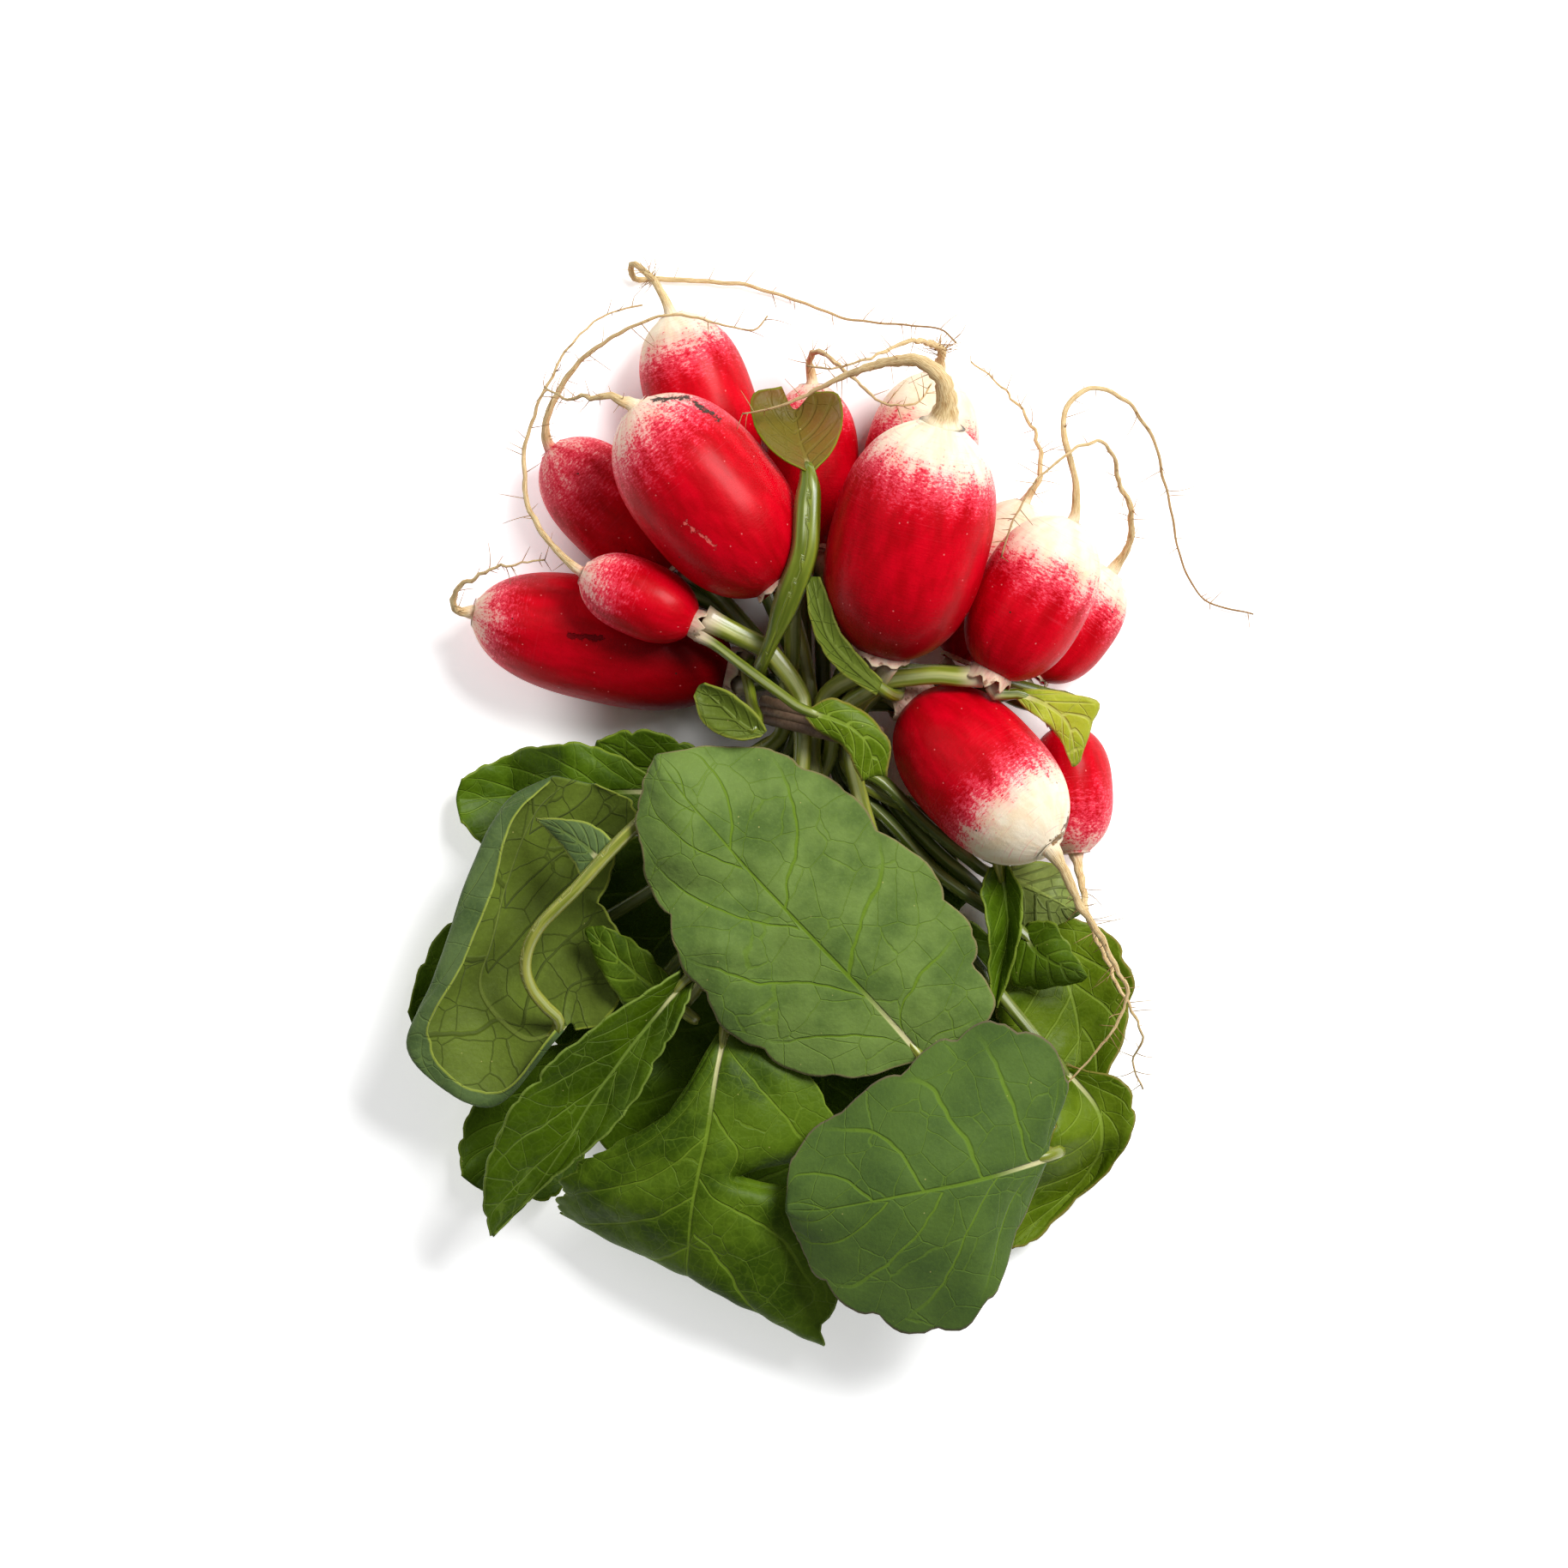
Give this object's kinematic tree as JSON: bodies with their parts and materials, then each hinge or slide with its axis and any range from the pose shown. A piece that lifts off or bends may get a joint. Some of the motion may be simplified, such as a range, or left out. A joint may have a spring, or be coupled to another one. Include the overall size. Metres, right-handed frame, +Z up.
{
  "type": "bunch of radishes",
  "caption": "Bunch of French breakfast radishes with their leaves and tail roots, tied by an elastic band and lying on its side.",
  "frame": {"origin": "on the table under the middle of the bunch's box", "axes": "+Z up, +Y from the leaf tips towards the tail roots, +X to the right as seen from above"},
  "size_m": [0.1656, 0.212, 0.0538],
  "materials": {
    "radish_skin": "glossy red skin with white tips and roots",
    "leaf_green": "velvety green leaf",
    "band_rubber": "dull brown rubber"
  },
  "bodies": {
    "root": {"elastic_band": "band_rubber", "leaf_bottom": "leaf_green", "leaf_bottom_left": "leaf_green", "leaf_fan": "leaf_green", "leaf_folded": "leaf_green", "leaf_foot": "leaf_green", "leaf_heart": "leaf_green", "leaf_heart_right": "leaf_green", "leaf_inner": "leaf_green", "leaf_left_back": "leaf_green", "leaf_left_cup": "leaf_green", "leaf_left_low": "leaf_green", "leaf_middle_left": "leaf_green", "leaf_narrow": "leaf_green", "leaf_oval": "leaf_green", "leaf_right_low": "leaf_green", "leaf_right_middle": "leaf_green", "leaf_right_side": "leaf_green", "leaf_right_upper": "leaf_green", "leaf_strap": "leaf_green", "leaf_thin_stalk": "leaf_green", "leaf_torn": "leaf_green", "leaf_under_bulb": "leaf_green", "leaf_under_long": "leaf_green", "leaf_upright": "leaf_green", "radish_back_left": "radish_skin", "radish_back_middle": "radish_skin", "radish_back_right": "radish_skin", "radish_far_right": "radish_skin", "radish_largest": "radish_skin", "radish_long": "radish_skin", "radish_low_left": "radish_skin", "radish_lower_back": "radish_skin", "radish_lower_right": "radish_skin", "radish_right": "radish_skin", "radish_small": "radish_skin", "radish_under": "radish_skin", "radish_upper_left": "radish_skin"}
  },
  "joints": []
}
